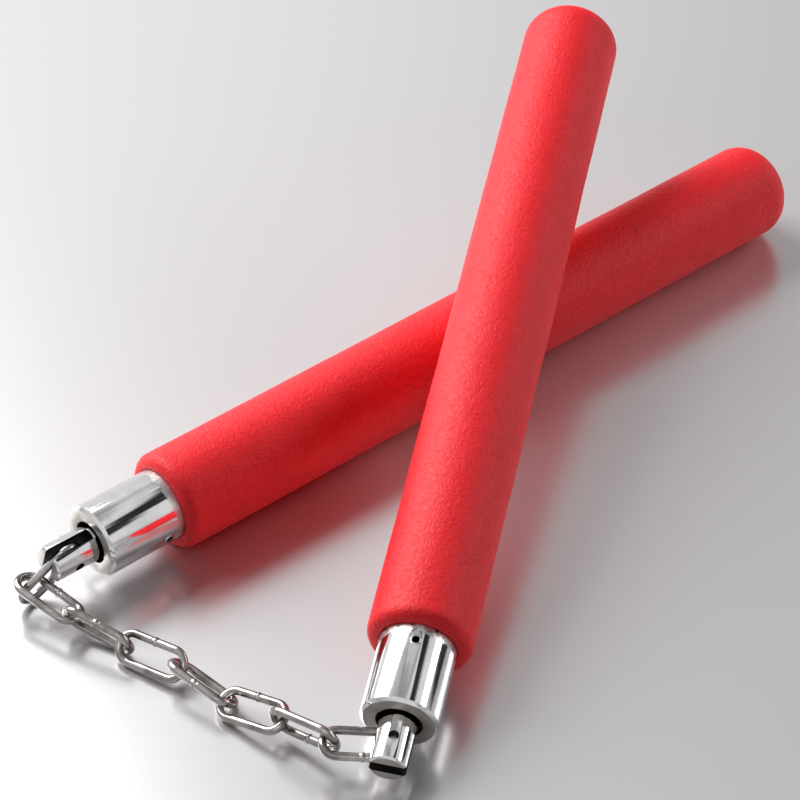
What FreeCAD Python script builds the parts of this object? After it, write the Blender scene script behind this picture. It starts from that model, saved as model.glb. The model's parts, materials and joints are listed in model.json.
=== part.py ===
import FreeCAD, Part
import math
import os
from FreeCAD import Matrix, Placement, Rotation, Vector

# A pair of foam training sticks joined by two ball-bearing swivels and a chain of eight
# steel links, lying on a floor as they fall when the pair is put down: stick A flat along
# +X, stick B resting across it. Millimetres, +Z up, origin at the middle of the underside.
#
# Both sticks are made alike in a frame of their own: the origin is the middle of the
# ferrule's face, +Z runs along the stick to its padded free end, and +X runs along the
# clevis pin. A link's frame starts at its near apex: +X runs along it, +Y across it.

DIMENSIONS = {
    "foam_radius": 16.0,
    "foam_length": 265.0,
    "foam_nose": 4.0,
    "foam_crown": 10.0,
    "foam_end_wall": 10.0,
    "core_radius": 10.5,
    "core_bore": 8.0,
    "core_start": 17.5,
    "plug_flange": 2.0,
    "plug_spigot": 15.0,
    "ferrule_radius": 11.7,
    "ferrule_length": 50.0,
    "ferrule_exposed": 27.0,
    "ferrule_chamfer": 1.0,
    "ferrule_wall": 3.0,
    "face_hole_radius": 7.0,
    "roll_pin_radius": 1.6,
    "roll_pin_bore": 1.15,
    "roll_pin_length": 23.8,
    "roll_pin_place": 21.5,
    "bearing_radius": 9.5,
    "bearing_bore": 4.0,
    "bearing_width": 6.0,
    "ball_pitch": 6.75,
    "ball_radius": 1.6,
    "ball_clearance": 0.05,
    "ring_depth": 1.9,
    "cage_depth": 0.9,
    "cage_width": 3.8,
    "clip_radius": 10.05,
    "clip_groove": 10.1,
    "clip_bore": 8.6,
    "clip_gap": 3.0,
    "clip_thickness": 1.0,
    "stem_radius": 5.8,
    "stem_chamfer": 0.6,
    "clevis_length": 16.0,
    "slot_width": 4.0,
    "slot_depth": 15.0,
    "thread_radius": 3.0,
    "thread_end": 16.0,
    "shaft_end": 8.9,
    "washer_radius": 5.5,
    "washer_thickness": 1.0,
    "nut_flats": 10.0,
    "nut_height": 5.0,
    "pin_radius": 1.5,
    "pin_hole_radius": 1.55,
    "pin_length": 10.2,
    "pin_shift": 1.0,
    "pin_place": 8.0,
    "link_wire": 2.6,
    "link_length": 25.8,
    "link_width": 11.4,
    "weld_radius": 1.5,
    "weld_length": 1.1,
    "weld_taper": 0.5,
    "pin_throw": 3.0,
    "link_throw": 3.8,
    "rail_offset": 1.6,
    "pin_tilt": 18.0,
    "first_droop": 42.0,
    "last_swing": -80.0,
    "last_roll": -76.0,
    "heading": 37.1,
    "rise": 11.35,
    "clevis_roll": 95.0,
    "foam_gap": 0.3,
    "floor_gap": 0.05,
}
BALL_COUNT = 7

# How links 2 to 6 lie: heading and elevation of the link, and its roll about its length.
LINK_LAY = [
    (-80, -8, -12),
    (-72, -7, -71),
    (-73, 3, 48),
    (-81, -6, -37),
    (-75, 11, 28),
]
# The side of each link that carries the weld: +1 is its +Y rail.
WELD_SIDES = [-1, 1, -1, 1, -1, 1, 1, -1]

doc = FreeCAD.newDocument("TrainingSticks")
sheet = doc.addObject("Spreadsheet::Sheet", "Dimensions")
for row, (alias, value) in enumerate(DIMENSIONS.items(), start=1):
    sheet.set(f"A{row}", alias)
    sheet.set(f"B{row}", str(value))
    sheet.setAlias(f"B{row}", alias)
doc.recompute()

ACROSS = Rotation(Vector(0, 1, 0), 90)
nodes = []


def size(alias):
    """The value of one cell of the sheet."""
    return float(sheet.get(alias))


def formula(text):
    """Spell out each alias in an expression as a cell of the sheet."""
    words = []
    for word in text.split():
        bare = word.strip("()")
        cell = word.replace(bare, f"Dimensions.{bare}") if bare in DIMENSIONS else word
        words.append(cell)
    return " ".join(words)


def bind(item, **sizes):
    """Bind properties to expressions; x, y and z stand for the placement's base."""
    for name, text in sizes.items():
        target = f"Placement.Base.{name}" if name in "xyz" else name
        item.setExpression(target, formula(text))


def keep(item, label, placement):
    """Register a finished sub-part under its node name, at its place in the pair."""
    item.Label = label
    nodes.append((item, placement))
    return item


def round_edge(body, feature, height, kind, **sizes):
    """Fillet or chamfer the outer circle of a feature at one height."""
    doc.recompute()
    circles = []
    for number, edge in enumerate(feature.Shape.Edges, start=1):
        if isinstance(edge.Curve, Part.Circle) and abs(edge.Curve.Center.z - height) < 0.01:
            circles.append((edge.Curve.Radius, f"Edge{number}"))
    dressed = body.newObject(f"PartDesign::{kind}", kind)
    dressed.Base = (feature, [max(circles)[1]])
    bind(dressed, **sizes)
    return dressed


def rod(body, radius, length, start, cut=False, across=False):
    """A cylinder feature along the stick, or across it and centred on its axis."""
    kind = "SubtractiveCylinder" if cut else "AdditiveCylinder"
    item = body.newObject(f"PartDesign::{kind}", kind)
    bind(item, Radius=radius, Height=length, z=start)
    if across:
        item.Placement = Placement(Vector(), ACROSS)
        bind(item, x=f"-( {length} ) / 2")
    return item


def body_of(name):
    return doc.addObject("PartDesign::Body", name)


def ring(label, place, radius, bore, length, start):
    """A plain tube or washer."""
    body = body_of(label)
    rod(body, radius, length, start)
    rod(body, bore, length, start, cut=True)
    return keep(body, label, place)


# ---------------------------------------------------------------- the stick
def foam_sleeve(side, place):
    """Soft tube over core and ferrule, nosed at the ferrule and crowned at the free end."""
    body = body_of(f"foam_sleeve_{side}")
    blank = rod(body, "foam_radius", "foam_length", "ferrule_exposed")
    nosed = round_edge(body, blank, size("ferrule_exposed"), "Fillet", Radius="foam_nose")
    top = size("ferrule_exposed") + size("foam_length")
    round_edge(body, nosed, top, "Fillet", Radius="foam_crown")
    rod(body, "ferrule_radius", "ferrule_length - ferrule_exposed", "ferrule_exposed", cut=True)
    rod(body, "core_radius", "foam_length - foam_end_wall", "ferrule_exposed", cut=True)
    keep(body, f"foam_sleeve_{side}", place)


def core(side, place):
    """Rigid tube inside the foam, its end closed by a flanged plug."""
    plug_base = "ferrule_exposed + foam_length - foam_end_wall - plug_flange"
    shell = ring(f"core_tube_{side}", place, "core_radius", "core_bore",
                 f"{plug_base} - core_start", "core_start")
    rod(shell, "roll_pin_radius", "roll_pin_length", "roll_pin_place", cut=True, across=True)
    plug = body_of(f"end_plug_{side}")
    rod(plug, "core_radius", "plug_flange", plug_base)
    rod(plug, "core_bore", "plug_spigot", f"{plug_base} - plug_spigot")
    keep(plug, f"end_plug_{side}", place)


def ferrule(side, place):
    """Plated cup: face wall, bearing seat with clip groove, and socket for the core."""
    body = body_of(f"ferrule_{side}")
    cup = rod(body, "ferrule_radius", "ferrule_length", "0")
    round_edge(body, cup, 0, "Chamfer", Size="ferrule_chamfer")
    rod(body, "face_hole_radius", "ferrule_wall", "0", cut=True)
    rod(body, "bearing_radius", "core_start - ferrule_wall", "ferrule_wall", cut=True)
    rod(body, "core_radius", "ferrule_length - core_start", "core_start", cut=True)
    rod(body, "clip_groove", "clip_thickness", "ferrule_wall + bearing_width", cut=True)
    rod(body, "roll_pin_radius", "roll_pin_length", "roll_pin_place", cut=True, across=True)
    keep(body, f"ferrule_{side}", place)
    pin = body_of(f"ferrule_pin_{side}")
    rod(pin, "roll_pin_radius", "roll_pin_length", "roll_pin_place", across=True)
    rod(pin, "roll_pin_bore", "roll_pin_length", "roll_pin_place", cut=True, across=True)
    keep(pin, f"ferrule_pin_{side}", place)


# ---------------------------------------------------------------- the bearing
def torus(name, wide, narrow, middle):
    item = doc.addObject("Part::Torus", name)
    bind(item, Radius1=wide, Radius2=narrow, z=middle)
    return item


def tube(name, radius, bore, length, start):
    """A tube made of Part primitives, for cutting further."""
    outer = doc.addObject("Part::Cylinder", name + "_outer")
    inner = doc.addObject("Part::Cylinder", name + "_inner")
    bind(outer, Radius=radius, Height=length, z=start)
    bind(inner, Radius=bore, Height=length, z=start)
    return cut_from(name, outer, inner)


def cut_from(name, base, tool):
    item = doc.addObject("Part::Cut", name)
    item.Base = base
    item.Tool = tool
    return item


def fused(name, shapes):
    item = doc.addObject("Part::MultiFuse", name)
    item.Shapes = shapes
    return item


def ball_set(name):
    """Balls evenly spaced round the pitch circle."""
    balls = []
    for number in range(BALL_COUNT):
        turn = math.radians(360 * number / BALL_COUNT)
        ball = doc.addObject("Part::Sphere", f"{name}_{number}")
        bind(ball, Radius="ball_radius",
             x=f"ball_pitch * {math.cos(turn):.9f}",
             y=f"ball_pitch * {math.sin(turn):.9f}",
             z="ferrule_wall + bearing_width / 2")
        balls.append(ball)
    return fused(name, balls)


def pocket_set(name):
    """Radial drillings through the cage, one for each ball."""
    pockets = []
    for number in range(BALL_COUNT):
        outward = Rotation(Vector(0, 0, 1), 360 * number / BALL_COUNT).multiply(ACROSS)
        pocket = doc.addObject("Part::Cylinder", f"{name}_{number}")
        pocket.Placement = Placement(Vector(), outward)
        bind(pocket, Radius="ball_radius + ball_clearance", Height="ball_pitch * 2",
             z="ferrule_wall + bearing_width / 2")
        pockets.append(pocket)
    return fused(name, pockets)


def bearing(side, place):
    """Deep-groove ball bearing and the spring clip that holds it in its seat."""
    middle = "ferrule_wall + bearing_width / 2"
    groove = "ball_radius + ball_clearance"
    outer = cut_from(f"bearing_outer_{side}",
                     tube(f"outer_blank_{side}", "bearing_radius",
                          "bearing_radius - ring_depth", "bearing_width", "ferrule_wall"),
                     torus(f"outer_race_{side}", "ball_pitch", groove, middle))
    keep(outer, f"bearing_outer_{side}", place)
    inner = cut_from(f"bearing_inner_{side}",
                     tube(f"inner_blank_{side}", "bearing_bore + ring_depth",
                          "bearing_bore", "bearing_width", "ferrule_wall"),
                     torus(f"inner_race_{side}", "ball_pitch", groove, middle))
    keep(inner, f"bearing_inner_{side}", place)
    keep(ball_set(f"bearing_balls_{side}"), f"bearing_balls_{side}", place)
    cage = cut_from(f"bearing_cage_{side}",
                    tube(f"cage_blank_{side}", "ball_pitch + cage_depth / 2",
                         "ball_pitch - cage_depth / 2", "cage_width",
                         f"{middle} - cage_width / 2"),
                    pocket_set(f"cage_pockets_{side}"))
    keep(cage, f"bearing_cage_{side}", place)
    gap = doc.addObject("Part::Box", f"clip_opening_{side}")
    bind(gap, Length="clip_radius", Width="clip_gap", Height="clip_thickness",
         y="-( clip_gap ) / 2", z="ferrule_wall + bearing_width")
    clip = cut_from(f"bearing_clip_{side}",
                    tube(f"clip_blank_{side}", "clip_radius", "clip_bore",
                         "clip_thickness", "ferrule_wall + bearing_width"), gap)
    keep(clip, f"bearing_clip_{side}", place)


# ---------------------------------------------------------------- the swivel
def swivel(side, place):
    """Forked stem on the bearing's inner ring, its washer, nut and clevis pin."""
    stem = body_of(f"swivel_stem_{side}")
    fork = rod(stem, "stem_radius", "clevis_length + ferrule_wall", "-( clevis_length )")
    round_edge(stem, fork, -size("clevis_length"), "Chamfer", Size="stem_chamfer")
    rod(stem, "bearing_bore", "shaft_end - ferrule_wall", "ferrule_wall")
    rod(stem, "thread_radius", "thread_end - shaft_end", "shaft_end")
    slot = stem.newObject("PartDesign::SubtractiveBox", "Slot")
    bind(slot, Length="slot_width", Width="stem_radius * 2", Height="slot_depth",
         x="-( slot_width ) / 2", y="-( stem_radius )", z="-( clevis_length )")
    rod(stem, "pin_hole_radius", "stem_radius * 2", "-( pin_place )", cut=True, across=True)
    keep(stem, f"swivel_stem_{side}", place)
    washer_base = "ferrule_wall + bearing_width"
    ring(f"stem_washer_{side}", place, "washer_radius", "thread_radius",
         "washer_thickness", washer_base)
    nut = body_of(f"stem_nut_{side}")
    hexagon = nut.newObject("PartDesign::AdditivePrism", "Hexagon")
    bind(hexagon, Circumradius="nut_flats / 2 / cos( 30 deg )", Height="nut_height",
         z=f"{washer_base} + washer_thickness")
    rod(nut, "thread_radius", "nut_height", f"{washer_base} + washer_thickness", cut=True)
    keep(nut, f"stem_nut_{side}", place)
    pin = doc.addObject("Part::Cylinder", f"clevis_pin_{side}")
    pin.Placement = Placement(Vector(), ACROSS)
    bind(pin, Radius="pin_radius", Height="pin_length")
    reach = size("pin_shift") - size("pin_length") / 2
    seat = Placement(Vector(reach, 0, -size("pin_place")), ACROSS)
    keep(pin, f"clevis_pin_{side}", place.multiply(seat))


# ---------------------------------------------------------------- the chain
def rail_piece(kind, name, start, offset, **sizes):
    """A cylinder or cone along a link's +X, on one of its rails."""
    item = doc.addObject(f"Part::{kind}", name)
    item.Placement = Placement(Vector(), ACROSS)
    bind(item, x=start, y=offset, **sizes)
    return item


def link(number, place, weld_side):
    """Oval link of round wire: two rails, two half-round bows and a weld bead."""
    name = f"link_{number}"
    radius = "link_wire / 2"
    bow = "( link_width - link_wire ) / 2"
    run = "link_length - link_width"
    pieces = []
    for side, sign in (("left", 1), ("right", -1)):
        pieces.append(rail_piece("Cylinder", f"{name}_{side}", bow, f"{sign} * {bow}",
                                 Radius=radius, Height=run))
    for end, start, turn in (("near", bow, 90), ("far", f"{bow} + {run}", -90)):
        half = doc.addObject("Part::Torus", f"{name}_{end}")
        half.Placement = Placement(Vector(), Rotation(Vector(0, 0, 1), turn))
        half.Angle3 = 180
        bind(half, Radius1=bow, Radius2=radius, x=start)
        pieces.append(half)
    offset = f"{weld_side} * {bow}"
    first = f"{bow} + ( {run} - weld_length ) / 2 - weld_taper"
    pieces.append(rail_piece("Cone", f"{name}_weld_in", first, offset,
                             Radius1=radius, Radius2="weld_radius", Height="weld_taper"))
    pieces.append(rail_piece("Cylinder", f"{name}_weld", f"{first} + weld_taper", offset,
                             Radius="weld_radius", Height="weld_length"))
    pieces.append(rail_piece("Cone", f"{name}_weld_out",
                             f"{first} + weld_taper + weld_length", offset,
                             Radius1="weld_radius", Radius2=radius, Height="weld_taper"))
    keep(fused(name, pieces), name, place)


# ---------------------------------------------------------------- how the pair lies
def frame_at(origin, forward, side):
    """Placement whose +X is forward and whose +Y is side."""
    normal = forward.cross(side)
    return Placement(Matrix(forward.x, side.x, normal.x, origin.x,
                            forward.y, side.y, normal.y, origin.y,
                            forward.z, side.z, normal.z, origin.z,
                            0, 0, 0, 1))


def stick_frame(face, along, pin):
    """Placement whose +Z runs along the stick and whose +X runs along the clevis pin."""
    side = along.cross(pin)
    return Placement(Matrix(pin.x, side.x, along.x, face.x,
                            pin.y, side.y, along.y, face.y,
                            pin.z, side.z, along.z, face.z,
                            0, 0, 0, 1))


def laid_link(heading, elevation, roll):
    """Length and width directions of a link from its three angles in degrees."""
    turn = math.radians(heading)
    lift = math.radians(elevation)
    lean = math.radians(roll)
    along = Vector(math.cos(lift) * math.cos(turn), math.cos(lift) * math.sin(turn),
                   math.sin(lift))
    level = Vector(-math.sin(turn), math.cos(turn), 0)
    return along, level * math.cos(lean) + along.cross(level) * math.sin(lean)


def turned(direction, axis, degrees):
    return Rotation(axis, degrees).multVec(direction)


def stick_b_layout():
    """Directions of stick B and its clevis pin, and the pin centre's y and z.

    Its ferrule's face edge rests on the floor and its foam lies over stick A, so its
    place across stick A follows from the radii, its heading and its rise.
    """
    heading = math.radians(size("heading"))
    rise = math.radians(size("rise"))
    along = Vector(math.cos(heading) * math.cos(rise), math.sin(heading) * math.cos(rise),
                   math.sin(rise))
    level = Vector(-math.sin(heading), math.cos(heading), 0)
    upper = along.cross(level)
    roll = math.radians(size("clevis_roll"))
    pin = level * math.cos(roll) + upper * math.sin(roll)
    radius = size("foam_radius")
    rim = size("ferrule_exposed") + size("foam_nose")
    ferrule_rest = size("ferrule_radius") * math.cos(rise)
    rim_z = ferrule_rest + (rim - size("ferrule_chamfer")) * math.sin(rise) + size("floor_gap")
    between = Vector(1, 0, 0).cross(along).normalize()
    reach = 2 * radius + size("foam_gap")
    rim_y = ((rim_z - radius) * between.z - reach) / -between.y
    setback = along * (rim + size("pin_place"))
    return along, pin, rim_y - setback.y, rim_z - setback.z


def chain_layout():
    """Frames of the eight links, the pivots between them and stick B's clevis pin."""
    wire_length = size("link_length") - size("link_wire")
    bow = (size("link_width") - size("link_wire")) / 2
    throw = size("link_throw")
    pin_throw = size("pin_throw")
    tilt = math.radians(size("pin_tilt"))
    droop = math.radians(size("first_droop"))
    along_a = Vector(1, 0, 0)
    pin_a = Vector(0, math.cos(tilt), math.sin(tilt))
    centre_a = Vector(-size("pin_place"), 0, size("foam_radius"))
    upward = pin_a.cross(along_a) * -1
    along = along_a * -math.cos(droop) - upward * math.sin(droop)
    across = pin_a.cross(along)
    near = centre_a - along * pin_throw
    frames = [(near, along, across)]
    pivots = [centre_a]
    pivot = near + along * (wire_length - bow - size("rail_offset")) + across * bow
    pivots.append(pivot)
    for angles in LINK_LAY:
        along, across = laid_link(*angles)
        near = pivot - along * throw
        frames.append((near, along, across))
        pivot = near + along * wire_length
        pivots.append(pivot)
    along_b, pin_b, pin_b_y, pin_b_z = stick_b_layout()
    last = turned(along_b, pin_b, size("last_swing"))
    step = wire_length - throw
    last_y = pin_b_y - (step - pin_throw) * last.y
    last_z = pin_b_z - (step - pin_throw) * last.z
    rise_y = (last_y - pivot.y) / step
    rise_z = (last_z - pivot.z) / step
    closing = Vector(math.sqrt(1 - rise_y ** 2 - rise_z ** 2), rise_y, rise_z)
    heading = math.degrees(math.atan2(closing.y, closing.x))
    elevation = math.degrees(math.asin(closing.z))
    along, across = laid_link(heading, elevation, size("last_roll"))
    frames.append((pivot - along * throw, along, across))
    pivot = pivot + along * step
    pivots.append(pivot)
    frames.append((pivot - last * throw, last, pin_b.cross(last)))
    centre_b = pivot + last * (step - pin_throw)
    pivots.append(centre_b)
    return frames, pivots, pin_a, along_b, pin_b


frames, pivots, pin_a, along_b, pin_b = chain_layout()
face_a = Vector(0, 0, size("foam_radius"))
face_b = pivots[-1] + along_b * size("pin_place")
stick_a = stick_frame(face_a, Vector(1, 0, 0), pin_a)
stick_b = stick_frame(face_b, along_b, pin_b * -1)

for side, place in (("a", stick_a), ("b", stick_b)):
    foam_sleeve(side, place)
    core(side, place)
    ferrule(side, place)
    bearing(side, place)
    swivel(side, place)
for number, (frame, weld_side) in enumerate(zip(frames, WELD_SIDES), start=1):
    link(number, frame_at(*frame), weld_side)

for item, placement in nodes:
    item.Placement = placement
doc.recompute()

# The origin is the middle of the whole pair's underside.
box = FreeCAD.BoundBox()
for item, _ in nodes:
    box.add(item.Shape.optimalBoundingBox(False))
shift = Vector(-box.Center.x, -box.Center.y, -box.ZMin)
for item, placement in nodes:
    item.Placement = Placement(shift, Rotation()).multiply(placement)
doc.recompute()

for item in doc.Objects:
    if "Invalid" in item.State or "Error" in item.State:
        raise RuntimeError(f"{item.Label} failed: {item.State}")
for item, _ in nodes:
    if item.Shape.isNull() or not item.Shape.isValid():
        raise RuntimeError(f"{item.Label} has no valid shape")

os.makedirs("parts", exist_ok=True)
for item, _ in nodes:
    item.Shape.exportStep(f"parts/{item.Label}.step")
print(f"{len(nodes)} nodes, {box.XLength:.1f} x {box.YLength:.1f} x {box.ZLength:.1f} mm")
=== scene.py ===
import json
import math

import bmesh
import bpy
import numpy as np
from mathutils import Matrix, Vector, noise


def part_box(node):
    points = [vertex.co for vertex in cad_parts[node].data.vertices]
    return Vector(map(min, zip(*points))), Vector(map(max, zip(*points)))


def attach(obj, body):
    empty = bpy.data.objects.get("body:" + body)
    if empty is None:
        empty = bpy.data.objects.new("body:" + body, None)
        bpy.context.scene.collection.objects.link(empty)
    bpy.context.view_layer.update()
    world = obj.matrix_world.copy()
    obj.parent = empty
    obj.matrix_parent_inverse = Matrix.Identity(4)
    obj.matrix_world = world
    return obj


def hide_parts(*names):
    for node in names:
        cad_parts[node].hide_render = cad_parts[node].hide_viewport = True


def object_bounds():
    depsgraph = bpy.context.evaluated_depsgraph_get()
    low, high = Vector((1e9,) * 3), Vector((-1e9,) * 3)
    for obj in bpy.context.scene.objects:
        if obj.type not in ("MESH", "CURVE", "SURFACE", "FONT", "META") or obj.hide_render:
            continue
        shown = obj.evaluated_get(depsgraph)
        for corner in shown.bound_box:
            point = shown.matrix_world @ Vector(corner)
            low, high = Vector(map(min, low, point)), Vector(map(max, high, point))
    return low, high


# A pair of red foam training sticks on a pale floor. Lengths are in metres. Every place
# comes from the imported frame: the sticks' axes from their spin joints, the links from their
# hinges. A stick's own frame starts in the middle of its ferrule's face and runs along +Z.

MM = 0.001
UP = Vector((0, 0, 1))
ON_AXIS = 1e-7

FOAM_START = 27.0 * MM
FOAM_END = 292.0 * MM
FOAM_RADIUS = 16.0 * MM
FOAM_NOSE = 3.5 * MM
FOAM_CROWN = 10.0 * MM
FOAM_LIP = 0.6 * MM
BORE_END = FOAM_END - 10.0 * MM
FERRULE_RADIUS = 11.7 * MM
FERRULE_LENGTH = 50.0 * MM
MOUTH_RADIUS = FERRULE_RADIUS + 0.02 * MM
CORE_RADIUS = 10.5 * MM

LINK_COUNT = 8
LINK_WIRE = 1.3 * MM
LINK_BOW = 4.4 * MM
LINK_RAIL = 14.4 * MM
WELD_SIDES = (-1, 1, 1, -1, 1, -1, -1, 1)

# The camera's place round the pair, measured from the middle of stick A's ferrule face.
CAMERA_AIM = Vector((129.0, 5.7, -16.0)) * MM
CAMERA_AZIMUTH = math.radians(40.7)
CAMERA_ELEVATION = math.radians(39.0)
CAMERA_DISTANCE = 1044.0 * MM
CAMERA_LENS = 142.9
CAMERA_REACH = 20.0
SENSOR_WIDTH = 36.0

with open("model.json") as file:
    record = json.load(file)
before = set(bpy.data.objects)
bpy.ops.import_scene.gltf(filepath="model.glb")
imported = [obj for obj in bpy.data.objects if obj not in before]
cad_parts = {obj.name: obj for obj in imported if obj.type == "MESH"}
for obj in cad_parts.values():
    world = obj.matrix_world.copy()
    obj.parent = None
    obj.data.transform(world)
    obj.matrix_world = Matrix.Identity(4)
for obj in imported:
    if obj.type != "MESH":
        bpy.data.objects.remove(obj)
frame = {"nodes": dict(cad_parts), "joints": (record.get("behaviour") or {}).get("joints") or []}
cad_low, cad_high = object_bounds()
joints = {joint["name"]: joint for joint in frame["joints"]}


# ------------------------------------------------------------------ places
def stick_matrix(joint):
    """World matrix of a stick: origin in its ferrule's face, +Z along it, +X level."""
    along = Vector(joint["axis"]).normalized()
    side = UP.cross(along).normalized()
    other = along.cross(side)
    matrix = Matrix((side, other, along)).transposed().to_4x4()
    matrix.translation = Vector(joint["pos_m"])
    return matrix


STICKS = {
    "a": stick_matrix(joints["swivel_a_spin"]),
    "b": stick_matrix(joints["stick_b_spin"]),
}


def chain_hinges():
    """The joints on which links 1 to 8 and swivel B hang, in order."""
    names = ["link_1_on_pin"]
    names += [f"link_{n}_on_link_{n - 1}" for n in range(2, LINK_COUNT + 1)]
    names.append("swivel_b_on_link_8")
    return [joints[name] for name in names]


def link_matrix(number):
    """World matrix of a link: origin at its middle, +X along it, +Z its plane's normal."""
    hinges = chain_hinges()
    normal = Vector(hinges[number - 1]["axis"]).normalized()
    here = Vector(hinges[number - 1]["pos_m"])
    low, high = (Vector(corner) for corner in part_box(f"link_{number}"))
    middle = (low + high) / 2
    ahead = Vector(hinges[number]["pos_m"]) if number > 1 else middle
    along = ahead - here
    along = (along - normal * along.dot(normal)).normalized()
    middle = here + along * (middle - here).dot(along)
    across = normal.cross(along)
    matrix = Matrix((along, across, normal)).transposed().to_4x4()
    matrix.translation = middle
    return matrix


# ------------------------------------------------------------------ mesh helpers
def add_object(name, mesh, body, material):
    """Put a mesh in the scene, smooth shaded, riding on a body."""
    item = bpy.data.objects.new(name, mesh)
    bpy.context.scene.collection.objects.link(item)
    for face in mesh.polygons:
        face.use_smooth = True
    mesh.materials.append(material)
    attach(item, body)
    return item


def surface(name, work, rings):
    """Mesh of the faces between rings of vertices, each ring joined to the next."""
    for first, second in rings:
        bridge(work, first, second)
    bmesh.ops.recalc_face_normals(work, faces=work.faces)
    mesh = bpy.data.meshes.new(name)
    work.to_mesh(mesh)
    work.free()
    return mesh


def bridge(work, first, second):
    """Faces between two rings, either of which may be a single point."""
    count = max(len(first), len(second))
    for step in range(count):
        after = (step + 1) % count
        corners = []
        for ring, steps in ((first, (step, after)), (second, (after, step))):
            if len(ring) == 1:
                corners.append(ring[0])
            else:
                corners += [ring[index] for index in steps]
        work.faces.new(corners)


def lathe(name, profile, turns, matrix, shape):
    """Closed surface from an axis-to-axis profile of (radius, height) points.

    The function shape gives the radius grown or shrunk at a radius, height and angle.
    """
    work = bmesh.new()
    rings = []
    for radius, height in profile:
        if radius < ON_AXIS:
            rings.append([work.verts.new(matrix @ Vector((0, 0, height)))])
            continue
        ring = []
        for step in range(turns):
            angle = 2 * math.pi * step / turns
            grown = shape(radius, height, angle)
            place = Vector((grown * math.cos(angle), grown * math.sin(angle), height))
            ring.append(work.verts.new(matrix @ place))
        rings.append(ring)
    return surface(name, work, zip(rings, rings[1:]))


def arc(centre_radius, centre_height, radius, start, end, steps):
    """Points on a circular arc of a profile, angles in degrees from outward to upward."""
    points = []
    for step in range(steps + 1):
        angle = math.radians(start + (end - start) * step / steps)
        points.append((centre_radius + radius * math.cos(angle),
                       centre_height + radius * math.sin(angle)))
    return points


def run(start, end, spacing):
    """Evenly spaced inner points of a straight stretch of profile."""
    (r0, h0), (r1, h1) = start, end
    count = max(1, round(math.hypot(r1 - r0, h1 - h0) / spacing))
    return [(r0 + (r1 - r0) * k / count, h0 + (h1 - h0) * k / count)
            for k in range(1, count)]


# ------------------------------------------------------------------ foam
FOAM_TURNS = 128
WALL_STEP = 1.6 * MM
CROWN_ANGLE = 84
WAVE_START = {"a": 3.7, "b": 9.1}
WAVE_LENGTH = 30 * MM
SLOW_WAVE = 0.16 * MM
FINE_WAVE = 0.035 * MM
WAVE_RATIO = 6.0
UNWAVED_RADIUS = FERRULE_RADIUS + 0.05 * MM


def foam_profile():
    """The bore from its blind end to its mouth, then the nose, the wall and the crown."""
    points = [(0.0, BORE_END), (CORE_RADIUS, BORE_END), (CORE_RADIUS, FERRULE_LENGTH),
              (MOUTH_RADIUS, FERRULE_LENGTH)]
    points += arc(MOUTH_RADIUS + FOAM_LIP, FOAM_START + FOAM_LIP, FOAM_LIP,
                  180, 270, steps=4)
    points += arc(FOAM_RADIUS - FOAM_NOSE, FOAM_START + FOAM_NOSE, FOAM_NOSE,
                  -90, 0, steps=12)
    crown = arc(FOAM_RADIUS - FOAM_CROWN, FOAM_END - FOAM_CROWN, FOAM_CROWN,
                0, CROWN_ANGLE, steps=18)
    points += run(points[-1], crown[0], WALL_STEP) + crown
    last_radius, last_height = crown[-1]
    for share in (0.75, 0.5, 0.25, 0.0):
        rise = (FOAM_END - last_height) * (1 - share ** 2)
        points.append((last_radius * share, last_height + rise))
    return points


def foam_sleeve(side, material):
    """Soft sleeve whose outside has a faint waviness from moulding."""
    start = Vector((0.0, 0.0, WAVE_START[side]))

    def wavy(radius, height, angle):
        if radius <= UNWAVED_RADIUS:
            return radius
        spot = Vector((math.cos(angle), math.sin(angle), height / WAVE_LENGTH)) + start
        slow = noise.noise(spot) * SLOW_WAVE
        fine = noise.noise(spot * WAVE_RATIO) * FINE_WAVE
        return radius + (slow + fine) * min(1.0, radius / FOAM_RADIUS)

    mesh = lathe(f"foam_{side}", foam_profile(), FOAM_TURNS, STICKS[side], wavy)
    item = add_object(f"foam_{side}", mesh, f"stick_{side}", material)
    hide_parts(f"foam_sleeve_{side}")


# ------------------------------------------------------------------ ferrules, stems and pins
SAME_PLACE = 1e-6
SAME_PLANE = math.radians(0.5)
SHARP_EDGE = math.radians(35)
BEVEL_STEPS = 3
FERRULE_EASE = 0.35 * MM
STEM_EASE = 0.25 * MM
CLEVIS_PIN_EASE = 0.25 * MM
ROLL_PIN_EASE = 0.15 * MM

# How near a face's normal has to be to an axis, or how far from it, as their dot product.
SQUARE = 0.95
NEARLY_SQUARE = 0.9
STEEP = 0.5

# Depths are along a stick from its ferrule's face, so the fork's are negative. Each bound
# stands a little off the surface it picks.
FORK_INSIDE = -0.9 * MM
FORK_FLOOR = (-1.2 * MM, -0.8 * MM)
SLOT_HALF = 2.1 * MM
CROSS_HOLE = 1.6 * MM
CHEEK = 2.0 * MM
CUP_FACE = 0.2 * MM
CUP_INSIDE = 1.2 * MM
CUP_RADIUS = FERRULE_RADIUS - 0.3 * MM


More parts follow.
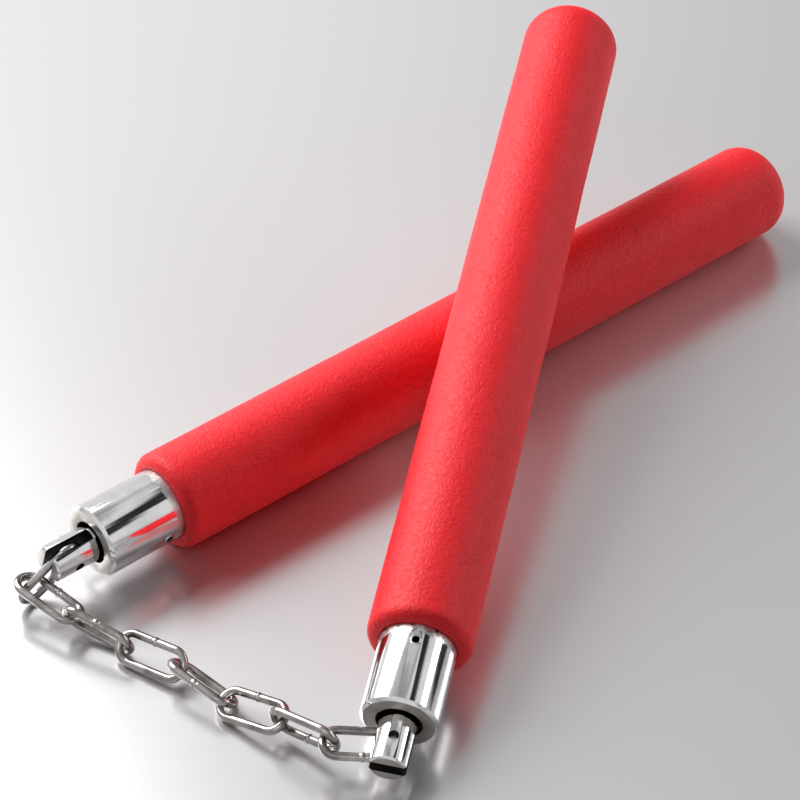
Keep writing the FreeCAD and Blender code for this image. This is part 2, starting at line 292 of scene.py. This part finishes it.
def refined(node, body, material, bevel, areas=()):
    """A copy of a CAD piece with its sharp edges eased, standing in for the node.

    Each of areas is a test of a face's middle and normal, and the finish or painted shade of
    those it picks.
    """
    mesh = frame["nodes"][node].data.copy()
    mesh.name = f"{node}_eased"
    mesh.materials.clear()
    work = bmesh.new()
    work.from_mesh(mesh)
    bmesh.ops.remove_doubles(work, verts=work.verts, dist=SAME_PLACE)
    bmesh.ops.dissolve_limit(work, angle_limit=SAME_PLANE, verts=work.verts,
                             edges=work.edges)
    work.to_mesh(mesh)
    work.free()
    item = add_object(f"{node}_eased", mesh, body, material)
    for number, (picks, finish_or_shade) in enumerate(areas, start=1):
        mesh.materials.append(finish_or_shade)
        for face in mesh.polygons:
            if picks(face.center, face.normal):
                face.material_index = number
    eased = item.modifiers.new("Bevel", "BEVEL")
    eased.width = bevel
    eased.segments = BEVEL_STEPS
    eased.limit_method = "ANGLE"
    eased.angle_limit = SHARP_EDGE
    eased.harden_normals = True
    bpy.context.view_layer.objects.active = item
    bpy.ops.object.modifier_apply(modifier=eased.name)
    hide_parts(node)


def split(offset, axis):
    """How far an offset goes along an axis, and the part of it that leads off the axis."""
    along = offset.dot(axis)
    return along, offset - axis * along


def fork_recess(side):
    """Picks the faces inside the fork's slot and the cross hole for the clevis pin."""
    face, along = STICKS[side].translation, STICKS[side].col[2].to_3d()
    hinge = joints["link_1_on_pin" if side == "a" else "swivel_b_on_link_8"]
    pin, centre = Vector(hinge["axis"]).normalized(), Vector(hinge["pos_m"])

    def inside(middle, normal):
        depth = (middle - face).dot(along)
        sideways, outward = split(middle - centre, pin)
        cheek = depth < FORK_INSIDE and abs(sideways) < SLOT_HALF
        cheek = cheek and abs(normal.dot(pin)) > NEARLY_SQUARE
        floor = FORK_FLOOR[0] < depth < FORK_FLOOR[1]
        floor = floor and abs(normal.dot(along)) > NEARLY_SQUARE
        bore = outward.length < CROSS_HOLE and abs(sideways) > CHEEK
        return cheek or floor or bore

    return inside


def cup_recess(side):
    """Picks the faces inside the ferrule: the hole in its face and all that lies behind."""
    face, along = STICKS[side].translation, STICKS[side].col[2].to_3d()

    def inside(middle, normal):
        depth, outward = split(middle - face, along)
        buried = depth > CUP_INSIDE and outward.length < CUP_RADIUS
        return buried or (depth > CUP_FACE and outward.dot(normal) < 0)

    return inside


def pin_bore(side):
    """Picks the faces inside the hollow of a ferrule's roll pin."""
    corners = np.array([tuple(vertex.co)
                        for vertex in frame["nodes"][f"ferrule_pin_{side}"].data.vertices])
    middle_corner = corners.mean(axis=0)
    centre = Vector(middle_corner)
    axis = Vector(np.linalg.svd(corners - middle_corner, full_matrices=False)[2][0])

    def inside(middle, normal):
        outward = split(middle - centre, axis)[1]
        return outward.dot(normal) < 0 and abs(normal.dot(axis)) < STEEP

    return inside


def end_faces(side):
    """Picks the flat faces square to a stick, which are turned and not polished."""
    along = STICKS[side].col[2].to_3d()

    def flat(middle, normal):
        return normal.dot(along) < -SQUARE

    return flat


# ------------------------------------------------------------------ chain
LINK_STEPS = 260
LINK_TURNS = 28
UNEVEN_PITCH = 2.0 * MM
UNEVEN_WIRE = 0.02 * MM
LINK_SHIFT = 5.0
WELD_REACH = 1.6 * MM
BEAD_WIDTH = 0.42 * MM
BEAD_RISE = 0.22 * MM
BEAD_UNEVEN = 0.08 * MM
BEAD_RATIO = 2.3
NECK_GAP = 0.95 * MM
NECK_WIDTH = 0.25 * MM
NECK_DIP = 0.07 * MM


def link_bend(middle, angle):
    """Point and outward direction on the half circle at one end of a link."""
    out = Vector((math.cos(angle), math.sin(angle), 0))
    return Vector((middle, 0, 0)) + out * LINK_BOW, out


def link_path(share):
    """Point and outward direction on a link's centreline, share running 0 to 1 round it."""
    half = LINK_RAIL / 2
    turn = math.pi * LINK_BOW
    along = share * 2 * (LINK_RAIL + turn)
    if along < LINK_RAIL:
        return Vector((along - half, -LINK_BOW, 0)), Vector((0, -1, 0))
    along -= LINK_RAIL
    if along < turn:
        return link_bend(half, along / LINK_BOW - math.pi / 2)
    along -= turn
    if along < LINK_RAIL:
        return Vector((half - along, LINK_BOW, 0)), Vector((0, 1, 0))
    along -= LINK_RAIL
    return link_bend(-half, along / LINK_BOW + math.pi / 2)


def weld_rise(gap, spot):
    """How far the weld's uneven bead stands out, less the neck beside it."""
    bead = math.exp(-(gap / BEAD_WIDTH) ** 2)
    neck = math.exp(-((gap - NECK_GAP) / NECK_WIDTH) ** 2)
    rise = BEAD_RISE + BEAD_UNEVEN * noise.noise(spot * BEAD_RATIO)
    return bead * rise - neck * NECK_DIP


def link(number, material):
    """Oval link of drawn wire with an uneven butt-weld bead in the middle of one rail."""
    matrix = link_matrix(number)
    weld = Vector((0, WELD_SIDES[number - 1] * LINK_BOW, 0))
    start = Vector((number * LINK_SHIFT, 0, 0))
    work = bmesh.new()
    rings = []
    for step in range(LINK_STEPS):
        centre, out = link_path(step / LINK_STEPS)
        gap = (centre - weld).length
        ring = []
        for turn in range(LINK_TURNS):
            angle = 2 * math.pi * turn / LINK_TURNS
            away = out * math.cos(angle) + UP * math.sin(angle)
            spot = start + (centre + away * LINK_WIRE) / UNEVEN_PITCH
            radius = LINK_WIRE + noise.noise(spot) * UNEVEN_WIRE
            if gap < WELD_REACH:
                radius += weld_rise(gap, spot)
            ring.append(work.verts.new(matrix @ (centre + away * radius)))
        rings.append(ring)
    mesh = surface(f"chain_link_{number}", work, zip(rings, rings[1:] + rings[:1]))
    item = add_object(f"chain_link_{number}", mesh, f"chain_{number}", material)
    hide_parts(f"link_{number}")


# ------------------------------------------------------------------ shader helpers
NOISE_LOW = 0.3
NOISE_HIGH = 0.7


def connect(tree, value, socket):
    """Link a socket to a node's output, or set it to a plain number, vector or colour."""
    if isinstance(value, bpy.types.NodeSocket):
        tree.links.new(value, socket)
    else:
        socket.default_value = value


def coordinates(tree, matrix=None, scale=(1.0, 1.0, 1.0)):
    """Object coordinates, turned so that +Z runs along a stick when one is given."""
    vector = tree.nodes.new("ShaderNodeTexCoord").outputs["Object"]
    if matrix is not None:
        turn = tree.nodes.new("ShaderNodeMapping")
        turn.vector_type = "TEXTURE"
        turn.inputs["Location"].default_value = matrix.translation
        turn.inputs["Rotation"].default_value = matrix.to_euler()
        tree.links.new(vector, turn.inputs["Vector"])
        vector = turn.outputs["Vector"]
    mapping = tree.nodes.new("ShaderNodeMapping")
    mapping.inputs["Scale"].default_value = scale
    tree.links.new(vector, mapping.inputs["Vector"])
    return mapping.outputs["Vector"]


def noise_node(tree, vector, scale, detail=4.0, roughness=0.5):
    """Noise between 0 and 1, mostly near 0.5, with scale features to the metre."""
    item = tree.nodes.new("ShaderNodeTexNoise")
    item.inputs["Scale"].default_value = scale
    item.inputs["Detail"].default_value = detail
    item.inputs["Roughness"].default_value = roughness
    tree.links.new(vector, item.inputs["Vector"])
    return item.outputs["Fac"]


def ramp(tree, value, stops):
    """Colour ramp from (position, colour) pairs."""
    item = tree.nodes.new("ShaderNodeValToRGB")
    elements = item.color_ramp.elements
    elements.remove(elements[1])
    elements[0].position = stops[0][0]
    elements[0].color = (*stops[0][1], 1.0)
    for position, colour in stops[1:]:
        elements.new(position).color = (*colour, 1.0)
    tree.links.new(value, item.inputs["Fac"])
    return item.outputs["Color"]


def grey_ramp(tree, value, stops):
    """Ramp from (position, level) pairs."""
    return ramp(tree, value, [(position, (level,) * 3) for position, level in stops])


def spread(tree, value, low, high):
    """The middle of a noise's range stretched from low to high."""
    item = tree.nodes.new("ShaderNodeMapRange")
    item.inputs["From Min"].default_value = NOISE_LOW
    item.inputs["From Max"].default_value = NOISE_HIGH
    item.inputs["To Min"].default_value = low
    item.inputs["To Max"].default_value = high
    tree.links.new(value, item.inputs["Value"])
    return item.outputs["Result"]


def bump(tree, value, distance, strength, below=None):
    """Surface relief from a value, on top of another relief when one is given."""
    item = tree.nodes.new("ShaderNodeBump")
    item.inputs["Distance"].default_value = distance
    item.inputs["Strength"].default_value = strength
    tree.links.new(value, item.inputs["Height"])
    if below is not None:
        tree.links.new(below, item.inputs["Normal"])
    return item.outputs["Normal"]


def part_along(tree, source, direction):
    """The part of a vector that lies along a direction."""
    item = tree.nodes.new("ShaderNodeVectorMath")
    item.operation = "DOT_PRODUCT"
    connect(tree, source, item.inputs[0])
    connect(tree, direction, item.inputs[1])
    return item.outputs["Value"]


def calculate(tree, operation, first, second):
    """The result of a Math node on two values, each a node's output or a plain number."""
    item = tree.nodes.new("ShaderNodeMath")
    item.operation = operation
    for socket, value in zip(item.inputs, (first, second)):
        connect(tree, value, socket)
    return item.outputs["Value"]


def mixed(tree, share, first, second, blend_type="MIX"):
    """A blend of two colours, each a node's output or a plain colour."""
    item = tree.nodes.new("ShaderNodeMixRGB")
    item.blend_type = blend_type
    for socket, value in zip(item.inputs, (share, first, second)):
        connect(tree, value, socket)
    return item.outputs["Color"]


def multiplied(tree, first, second):
    """The product of two colours."""
    return mixed(tree, 1.0, first, second, "MULTIPLY")


def laid_over(tree, socket, share, value):
    """Blend a value over whatever already feeds a shader's socket."""
    below = socket.links[0].from_socket
    tree.links.new(mixed(tree, share, below, value), socket)


# ------------------------------------------------------------------ materials
FOAM_REDS = [(0.25, (0.88, 0.011, 0.018)), (0.75, (0.97, 0.018, 0.028))]
# Painted shade of the skin's tiny pits: where fine noise is low, the red is darkened in small
# specks.
FOAM_PIT_SHADE = [(0.34, 0.84), (0.50, 1.0)]
WRINKLE_DEPTH = 0.36 * MM
PEBBLE_DEPTH = 0.12 * MM
METAL_RELIEF = 0.02 * MM
METAL_ROUGH = (0.7, 1.4)
TARNISH_SHADE = 0.82
PLASTIC_RELIEF = 0.03 * MM
PLASTIC_SHADE = 0.88

# Colour, roughness and grain of each plain metal, and its tarnish where that isn't just darker.
METALS = {
    "chain_steel": ((0.43, 0.41, 0.40), 0.19, 900.0, (0.20, 0.185, 0.18)),
    "pin_steel": ((0.60, 0.60, 0.61), 0.25, 800.0),
    "race_steel": ((0.62, 0.62, 0.64), 0.12, 1200.0),
    "spring_steel": ((0.10, 0.10, 0.11), 0.35, 900.0),
    "cage_brass": ((0.70, 0.50, 0.22), 0.30, 900.0),
    # Painted shade: near-black steel for the faces inside the fork's slot, the cross holes, the
    # roll pins' hollows and the ferrule's hollow.
    "painted_recess_shade": ((0.045, 0.040, 0.038), 0.38, 900.0),
    "turned_face": ((0.34, 0.325, 0.30), 0.40, 1500.0),
}
CORE_PLASTIC = (0.70, 0.69, 0.64)
CHROME = ((0.80, 0.79, 0.79), 0.09, 500.0, (0.70, 0.69, 0.69))
TURNED_GRAIN = (1.0, 1.0, 6.0)

# The band of chrome beside the foam is dull and pitted, with a ragged edge. WORN_EDGE runs
# in shares of the way from the ferrule's face to the foam.
WORN_RAGGED = 5.0 * MM
WORN_EDGE = [(0.97, 0.0), (1.08, 1.0)]
WORN_ROUGHNESS = (0.38, 0.38, 0.38, 1.0)
WORN_LEVEL = 0.61
PIT_LEVEL = {"a": 0.50, "b": 0.09}


def new_material(name):
    """A new material with its node tree and its shader."""
    material = bpy.data.materials.new(name)
    material.use_nodes = True
    tree = material.node_tree
    shader = tree.nodes["Principled BSDF"]
    return material, tree, shader


def foam_material(side):
    """Smooth-skinned closed-cell foam: nearly matt, with the fine wrinkled skin of a grip."""
    material, tree, shader = new_material(f"red_foam_{side}")
    vector = coordinates(tree, STICKS[side])
    blotch = noise_node(tree, vector, scale=130.0, detail=5.0, roughness=0.6)
    # Painted shade: specks of darker red stand in for the shade inside the skin's pits.
    pit_shade = grey_ramp(tree, noise_node(tree, vector, scale=1250.0, detail=2.0), FOAM_PIT_SHADE)
    colour = multiplied(tree, ramp(tree, blotch, FOAM_REDS), pit_shade)
    tree.links.new(colour, shader.inputs["Base Color"])
    wrinkle = noise_node(tree, vector, scale=850.0, detail=3.0, roughness=0.55)
    tree.links.new(spread(tree, wrinkle, 0.46, 0.66), shader.inputs["Roughness"])
    pebble = noise_node(tree, vector, scale=1700.0, detail=2.0)
    wrinkled = bump(tree, wrinkle, WRINKLE_DEPTH, strength=0.8)
    relief = bump(tree, pebble, PEBBLE_DEPTH, strength=0.7, below=wrinkled)
    tree.links.new(relief, shader.inputs["Normal"])
    shader.inputs["Sheen Weight"].default_value = 0.08
    shader.inputs["Sheen Roughness"].default_value = 0.4
    shader.inputs["Sheen Tint"].default_value = (1.0, 0.30, 0.32, 1.0)
    shader.inputs["Specular IOR Level"].default_value = 0.35
    return material


def metal_material(name, colour, rough, grain, tarnish=None, vectors=coordinates):
    """Metal with a fine grain in its roughness and surface and slight tarnish in its colour."""
    material, tree, shader = new_material(name)
    fine = noise_node(tree, vectors(tree), grain, detail=6.0, roughness=0.6)
    slow = noise_node(tree, coordinates(tree), scale=140.0, detail=3.0)
    dull = tarnish or tuple(part * TARNISH_SHADE for part in colour)
    smoothest, roughest = (rough * factor for factor in METAL_ROUGH)
    shader.inputs["Metallic"].default_value = 1.0
    tarnished = ramp(tree, slow, [(0.35, dull), (0.6, colour)])
    tree.links.new(tarnished, shader.inputs["Base Color"])
    tree.links.new(spread(tree, fine, smoothest, roughest), shader.inputs["Roughness"])
    tree.links.new(bump(tree, fine, METAL_RELIEF, strength=0.25), shader.inputs["Normal"])
    return material


def worn_chrome(side):
    """Bright plating, rubbed dull and spotted with dark pits where it meets the foam."""
    stick = STICKS[side]
    material = metal_material(f"chrome_{side}", *CHROME,
                              lambda tree: coordinates(tree, stick, TURNED_GRAIN))
    tree = material.node_tree
    shader = tree.nodes["Principled BSDF"]
    vector = coordinates(tree, stick)
    ragged = noise_node(tree, vector, scale=260.0, roughness=0.6)
    ragged = calculate(tree, "MULTIPLY", ragged, WORN_RAGGED)
    height = calculate(tree, "ADD", part_along(tree, vector, UP), ragged)
    worn = grey_ramp(tree, calculate(tree, "DIVIDE", height, FOAM_START), WORN_EDGE)
    spots = noise_node(tree, vector, scale=900.0, detail=3.0, roughness=0.6)
    pits = grey_ramp(tree, spots, [(0.36, PIT_LEVEL[side]), (0.46, WORN_LEVEL)])
    laid_over(tree, shader.inputs["Roughness"], worn, WORN_ROUGHNESS)
    laid_over(tree, shader.inputs["Base Color"], worn, pits)
    return material


def plastic_material(name, colour):
    """Dull moulded plastic with a fine tooth."""
    material, tree, shader = new_material(name)
    vector = coordinates(tree)
    fine = noise_node(tree, vector, scale=1800.0)
    slow = noise_node(tree, vector, scale=90.0)
    shade = tuple(part * PLASTIC_SHADE for part in colour)
    mottled = ramp(tree, slow, [(0.3, shade), (0.7, colour)])
    tree.links.new(mottled, shader.inputs["Base Color"])
    tree.links.new(spread(tree, fine, 0.5, 0.7), shader.inputs["Roughness"])
    tree.links.new(bump(tree, fine, PLASTIC_RELIEF, strength=0.3), shader.inputs["Normal"])
    return material


# ------------------------------------------------------------------ floor, light, camera
FLOOR_REACH = 4.0
FLOOR_LEVEL = -0.05 * MM
FLOOR_COLOUR = (0.72, 0.71, 0.72, 1.0)

# Each light's place to the right of, beyond and above the aim, its two sizes and its watts.
LIGHTS = {
    "key": ((-0.85, 0.66, 0.90), (1.0, 1.0), 32.5),
    "strip": ((1.15, 0.35, 0.60), (1.2, 0.3), 6.0),
    "front": ((-0.50, -1.20, 1.20), (0.9, 0.5), 1.8),
}

# The room as matt surfaces see it, from the horizon up, and as the camera sees it.
ROOM = [(0.0, (0.04, 0.04, 0.045)), (0.16, (0.05, 0.05, 0.055)),
        (0.34, (0.34, 0.34, 0.35)), (1.0, (0.62, 0.61, 0.62))]
ROOM_STRENGTH = 0.12
BACKDROP = (0.60, 0.60, 0.61, 1.0)

# The sheets round the table as the chrome sees them. The dark gap is the stretch at 0.03.
# It slants a little from straight away, and the corner lies between right and away.
SHEETS_STRENGTH = 0.85
GAP_SLANT = 0.4
CORNER_AWAY = 1.124
CORNER_LENGTH = 1.5
OVERHEAD = [(0.03, 0.55), (0.12, 0.95), (0.40, 0.85), (0.52, 0.42), (0.575, 0.50),
            (0.605, 0.95), (0.643, 0.90), (0.659, 0.03), (0.728, 0.03), (0.746, 0.95),
            (0.88, 0.95), (0.95, 0.55)]
FAR_SIDE = [(0.20, 1.0), (0.46, 0.95), (0.64, 0.50), (0.80, 0.45)]
FAR_SIDE_SHARE = [(0.44, 0.0), (0.60, 1.0)]
RIGHT_CORNER = [(0.775, 1.0), (0.825, 0.06)]


def floor_plane():
    """Pale satin sheet that the pair lies on."""
    middle = [(cad_low[k] + cad_high[k]) / 2 for k in (0, 1)]
    mesh = bpy.data.meshes.new("floor")
    corners = [(middle[0] + x * FLOOR_REACH, middle[1] + y * FLOOR_REACH, FLOOR_LEVEL)
               for x, y in ((-1, -1), (1, -1), (1, 1), (-1, 1))]
    mesh.from_pydata(corners, [], [(0, 1, 2, 3)])
    item = bpy.data.objects.new("floor", mesh)
    bpy.context.scene.collection.objects.link(item)
    material, _, shader = new_material("floor_sheet")
    shader.inputs["Base Color"].default_value = FLOOR_COLOUR
    shader.inputs["Metallic"].default_value = 0.58
    shader.inputs["Roughness"].default_value = 0.25
    mesh.materials.append(material)


def area_light(name, place, aim, size, watts):
    """A rectangular softbox at a place, facing the aim."""
    light = bpy.data.lights.new(name, "AREA")
    light.shape = "RECTANGLE"
    light.size, light.size_y = size
    light.energy = watts
    item = bpy.data.objects.new(name, light)
    item.location = place
    item.rotation_euler = (aim - place).to_track_quat("-Z", "Y").to_euler()
    bpy.context.scene.collection.objects.link(item)


def studio(target, look, right):
    """Big softbox behind on the left, smaller ones round it, and sheets for the chrome."""
    away = Vector((look.x, look.y, 0)).normalized()
    for name, (place, size, watts) in LIGHTS.items():
        offset = right * place[0] + away * place[1] + UP * place[2]
        area_light(name, target + offset, target, size, watts)
    world = bpy.data.worlds.new("studio")
    world.use_nodes = True
    tree = world.node_tree
    source = tree.nodes.new("ShaderNodeTexCoord").outputs["Generated"]
    height = part_along(tree, source, UP)
    dim = tree.nodes["Background"]
    tree.links.new(ramp(tree, height, ROOM), dim.inputs["Color"])
    dim.inputs["Strength"].default_value = ROOM_STRENGTH
    path = tree.nodes.new("ShaderNodeLightPath")
    sheets = sheet_light(tree, source, right, away, height)
    seen = dim.outputs["Background"]
    for ray, colour, strength in (("Is Glossy Ray", sheets, SHEETS_STRENGTH),
                                  ("Is Camera Ray", BACKDROP, 1.0)):
        sky = tree.nodes.new("ShaderNodeBackground")
        connect(tree, colour, sky.inputs["Color"])
        sky.inputs["Strength"].default_value = strength
        choice = tree.nodes.new("ShaderNodeMixShader")
        tree.links.new(path.outputs[ray], choice.inputs["Fac"])
        tree.links.new(seen, choice.inputs[1])
        tree.links.new(sky.outputs["Background"], choice.inputs[2])
        seen = choice.outputs["Shader"]
    tree.links.new(seen, tree.nodes["World Output"].inputs["Surface"])
    bpy.context.scene.world = world
    bpy.context.scene.view_settings.view_transform = "Standard"


def sheet_light(tree, source, right, away, height):
    """Brightness of the sheets round the table, as the chrome sees them.

    Overhead sheets are parted by a dark gap that runs away from the camera. The angle across
    it goes from 0 at the left horizon, over 0.5 overhead, to 1 at the right one.
    """
    over_gap = part_along(tree, source, right + away * GAP_SLANT)
    turn = calculate(tree, "ARCTAN2", over_gap, height)
    across = calculate(tree, "ADD", calculate(tree, "DIVIDE", turn, math.pi), 0.5)
    overhead = grey_ramp(tree, across, OVERHEAD)
    sideways = calculate(tree, "ADD", part_along(tree, source, right), 0.5)
    far = grey_ramp(tree, sideways, FAR_SIDE)
    far_share = grey_ramp(tree, part_along(tree, source, away), FAR_SIDE_SHARE)
    to_corner = (right + away * CORNER_AWAY) / CORNER_LENGTH
    corner = grey_ramp(tree, part_along(tree, source, to_corner), RIGHT_CORNER)
    return multiplied(tree, mixed(tree, far_share, overhead, far), corner)


def camera():
    """The photograph's viewing angle. Returns the aim, the look and the right direction."""
    target = STICKS["a"].translation + CAMERA_AIM
    look = Vector((math.sin(CAMERA_AZIMUTH) * math.cos(CAMERA_ELEVATION),
                   math.cos(CAMERA_AZIMUTH) * math.cos(CAMERA_ELEVATION),
                   -math.sin(CAMERA_ELEVATION)))
    data = bpy.data.cameras.new("camera")
    data.lens = CAMERA_LENS
    data.sensor_width = SENSOR_WIDTH
    data.clip_end = CAMERA_REACH
    item = bpy.data.objects.new("camera", data)
    item.location = target - look * CAMERA_DISTANCE
    item.rotation_euler = look.to_track_quat("-Z", "Y").to_euler()
    bpy.context.scene.collection.objects.link(item)
    bpy.context.scene.camera = item
    right = look.cross(UP).normalized()
    return target, look, right


# ------------------------------------------------------------------ the scene
# The CAD pieces inside each stick that stay as they are, and what each is made of.
HIDDEN = {
    "core_tube": "core_plastic", "end_plug": "core_plastic",
    "bearing_outer": "race_steel", "bearing_balls": "race_steel",
    "bearing_inner": "race_steel", "bearing_cage": "cage_brass",
    "bearing_clip": "spring_steel", "stem_washer": "pin_steel", "stem_nut": "pin_steel",
}


def dress(node, material):
    """Give a CAD piece that stays its material."""
    mesh = frame["nodes"][node].data
    mesh.materials.clear()
    mesh.materials.append(material)


def build_stick(side, looks):
    """A stick with its foam, ferrule and swivel."""
    chrome = worn_chrome(side)
    stick = f"stick_{side}"
    swivel = f"swivel_{side}"
    turned, recess_shade = looks["turned_face"], looks["painted_recess_shade"]
    pin_steel = looks["pin_steel"]
    foam_sleeve(side, foam_material(side))
    # The faces inside the ferrule, the roll pin's hollow and the fork's slot get near-black
    # painted shade; the end faces get the turned finish.
    refined(f"ferrule_{side}", stick, chrome, FERRULE_EASE,
            [(end_faces(side), turned), (cup_recess(side), recess_shade)])
    refined(f"ferrule_pin_{side}", stick, pin_steel, ROLL_PIN_EASE,
            [(pin_bore(side), recess_shade)])
    refined(f"swivel_stem_{side}", swivel, chrome, STEM_EASE,
            [(end_faces(side), turned), (fork_recess(side), recess_shade)])
    refined(f"clevis_pin_{side}", swivel, pin_steel, CLEVIS_PIN_EASE)
    for node, look in HIDDEN.items():
        dress(f"{node}_{side}", looks[look])


materials = {name: metal_material(name, *look) for name, look in METALS.items()}
materials["core_plastic"] = plastic_material("core_plastic", CORE_PLASTIC)
for side in ("a", "b"):
    build_stick(side, materials)
for number in range(1, LINK_COUNT + 1):
    link(number, materials["chain_steel"])

floor_plane()
studio(*camera())
